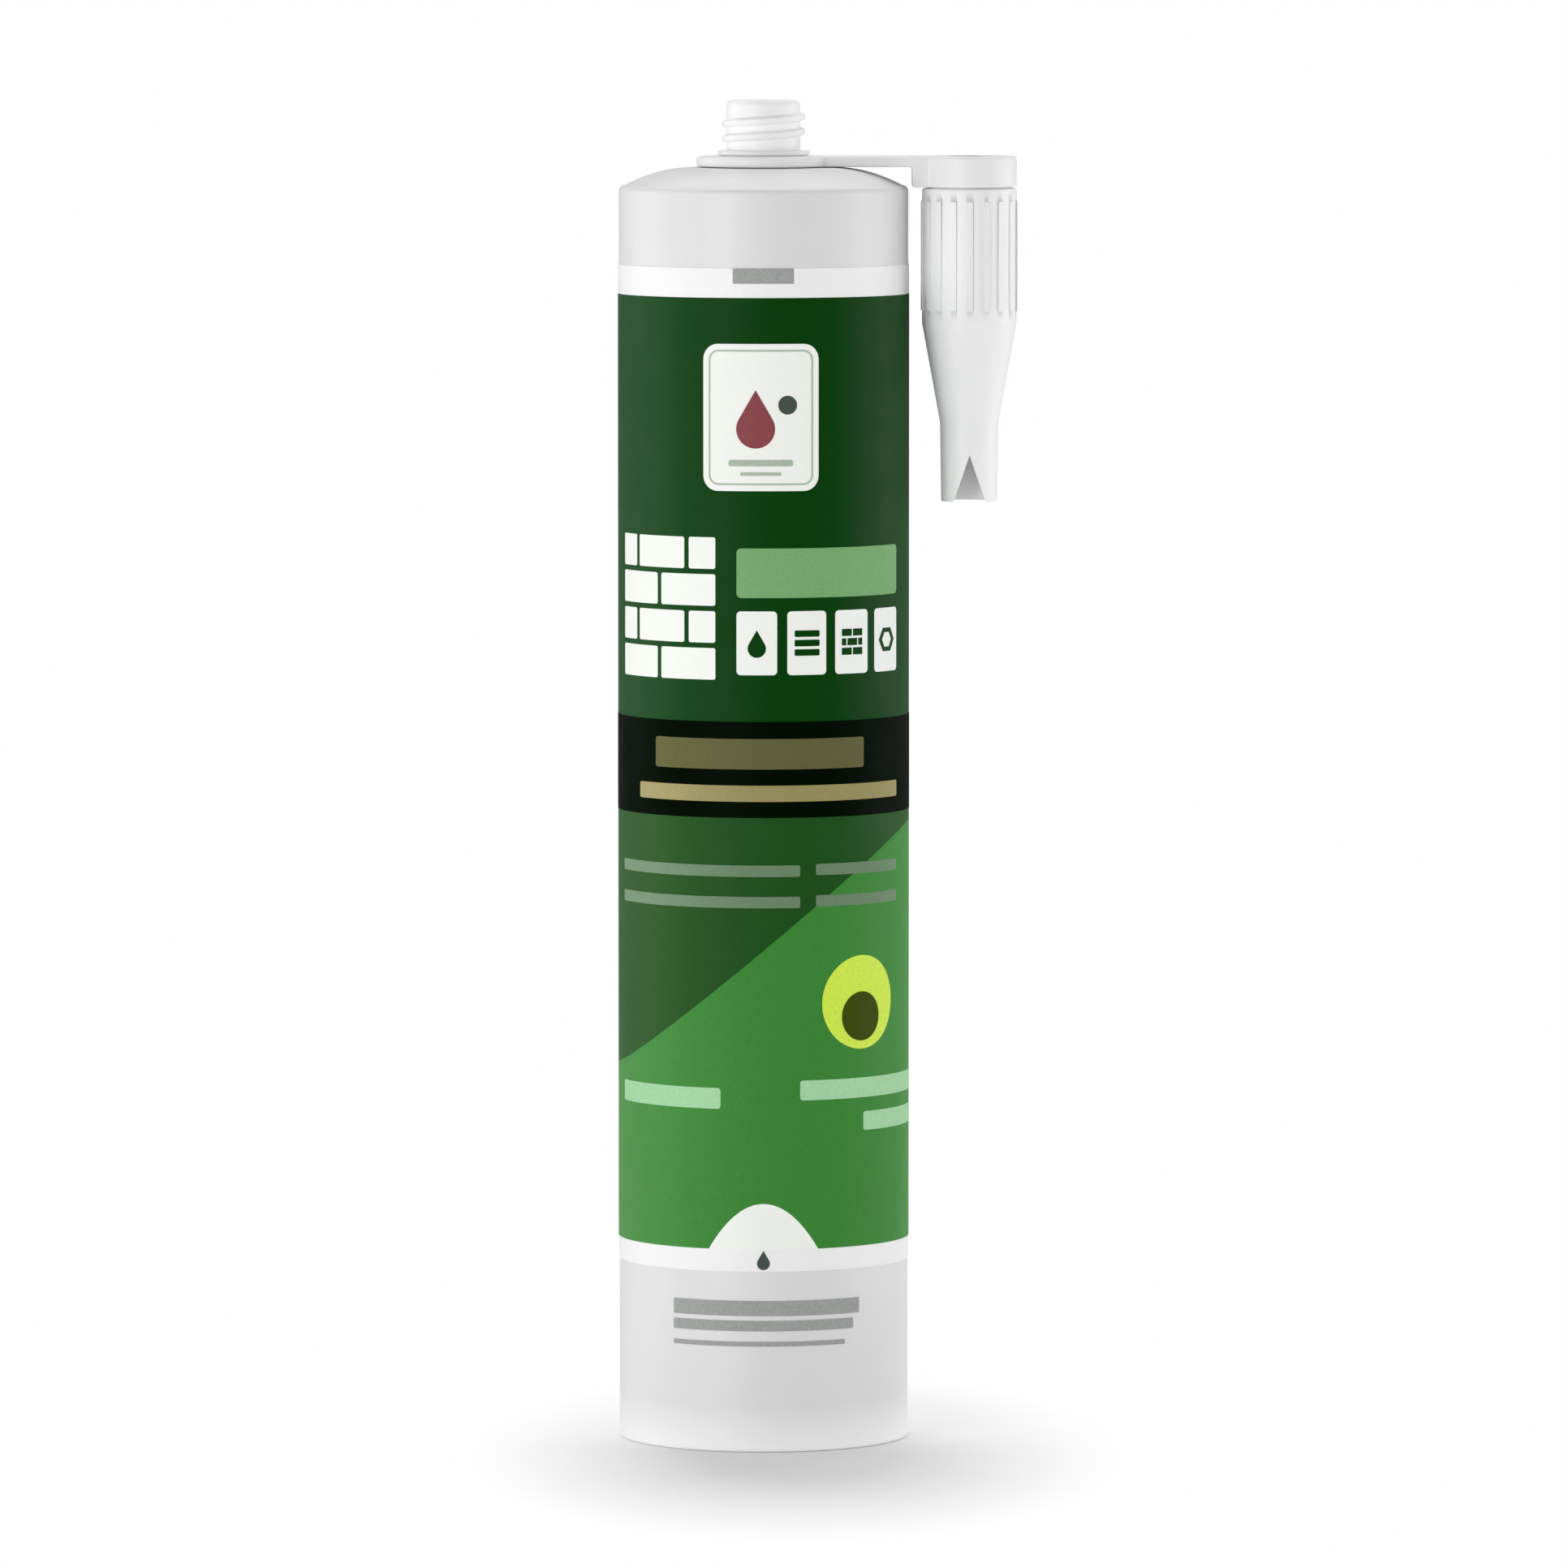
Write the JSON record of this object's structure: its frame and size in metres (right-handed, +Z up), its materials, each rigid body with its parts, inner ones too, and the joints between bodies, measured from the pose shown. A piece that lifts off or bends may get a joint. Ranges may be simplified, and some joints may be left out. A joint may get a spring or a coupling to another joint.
{
  "type": "construction adhesive cartridge",
  "caption": "Standing plastic gun cartridge of construction adhesive, with a printed label, a closed threaded neck, an inner piston and a spare nozzle hung on a swivelling holder.",
  "frame": {"origin": "on the barrel's axis at its open rear edge, which is what it stands on", "axes": "+Z up along the barrel to the neck, printed front towards -Y, spare nozzle on the +X side"},
  "size_m": [0.0685, 0.05, 0.2294],
  "materials": {
    "barrel_plastic": "satin milky polyethylene",
    "piston_plastic": "satin milky polyethylene",
    "adhesive": "thick soft paste",
    "holder_plastic": "satin moulded",
    "nozzle_plastic": "satin moulded",
    "white_film": "semi-gloss film",
    "dark_green_ink": "semi-gloss print",
    "light_green_ink": "semi-gloss print",
    "black_ink": "semi-gloss print",
    "white_ink": "semi-gloss print",
    "red_ink": "semi-gloss print",
    "slate_ink": "semi-gloss print",
    "pale_green_ink": "semi-gloss print",
    "dull_gold_ink": "semi-gloss print",
    "gold_ink": "semi-gloss print",
    "grey_green_ink": "semi-gloss print",
    "yellow_green_ink": "semi-gloss print",
    "olive_ink": "semi-gloss print",
    "grey_ink": "thin grey print"
  },
  "bodies": {
    "barrel": {"barrel": "barrel_plastic", "adhesive": "adhesive", "label_film": "white_film", "dark_field": "dark_green_ink", "light_field": "light_green_ink", "black_band": "black_ink", "badge_panel": "white_ink", "badge_drop": "red_ink", "badge_dot": "slate_ink", "brick_mark": "white_ink", "green_strip": "pale_green_ink", "white_tiles": "white_ink", "dull_gold_bar": "dull_gold_ink", "bright_gold_bar": "gold_ink", "grey_green_lines": "grey_green_ink", "roundel": "yellow_green_ink", "roundel_core": "olive_ink", "pale_bars": "pale_green_ink", "arch_panel": "white_ink", "arch_mark": "slate_ink", "code_bars": "grey_ink", "top_mark": "grey_ink"},
    "piston": {"piston": "piston_plastic"},
    "holder": {"nozzle_holder": "holder_plastic"},
    "spare_nozzle": {"nozzle": "nozzle_plastic"}
  },
  "joints": [
    {"name": "piston_slide", "type": "slide", "parent": "barrel", "child": "piston", "axis": [0, 0, 1], "range_m": [0, 0.1825], "deforming": ["adhesive"]},
    {"name": "holder_swivel", "type": "hinge", "parent": "barrel", "child": "holder", "pos_m": [0, 0, 0.219], "axis": [0, 0, 1], "continuous": true},
    {"name": "nozzle_pull", "type": "slide", "parent": "holder", "child": "spare_nozzle", "axis": [0, 0, -1], "range_m": [0, 0.012]}
  ]
}
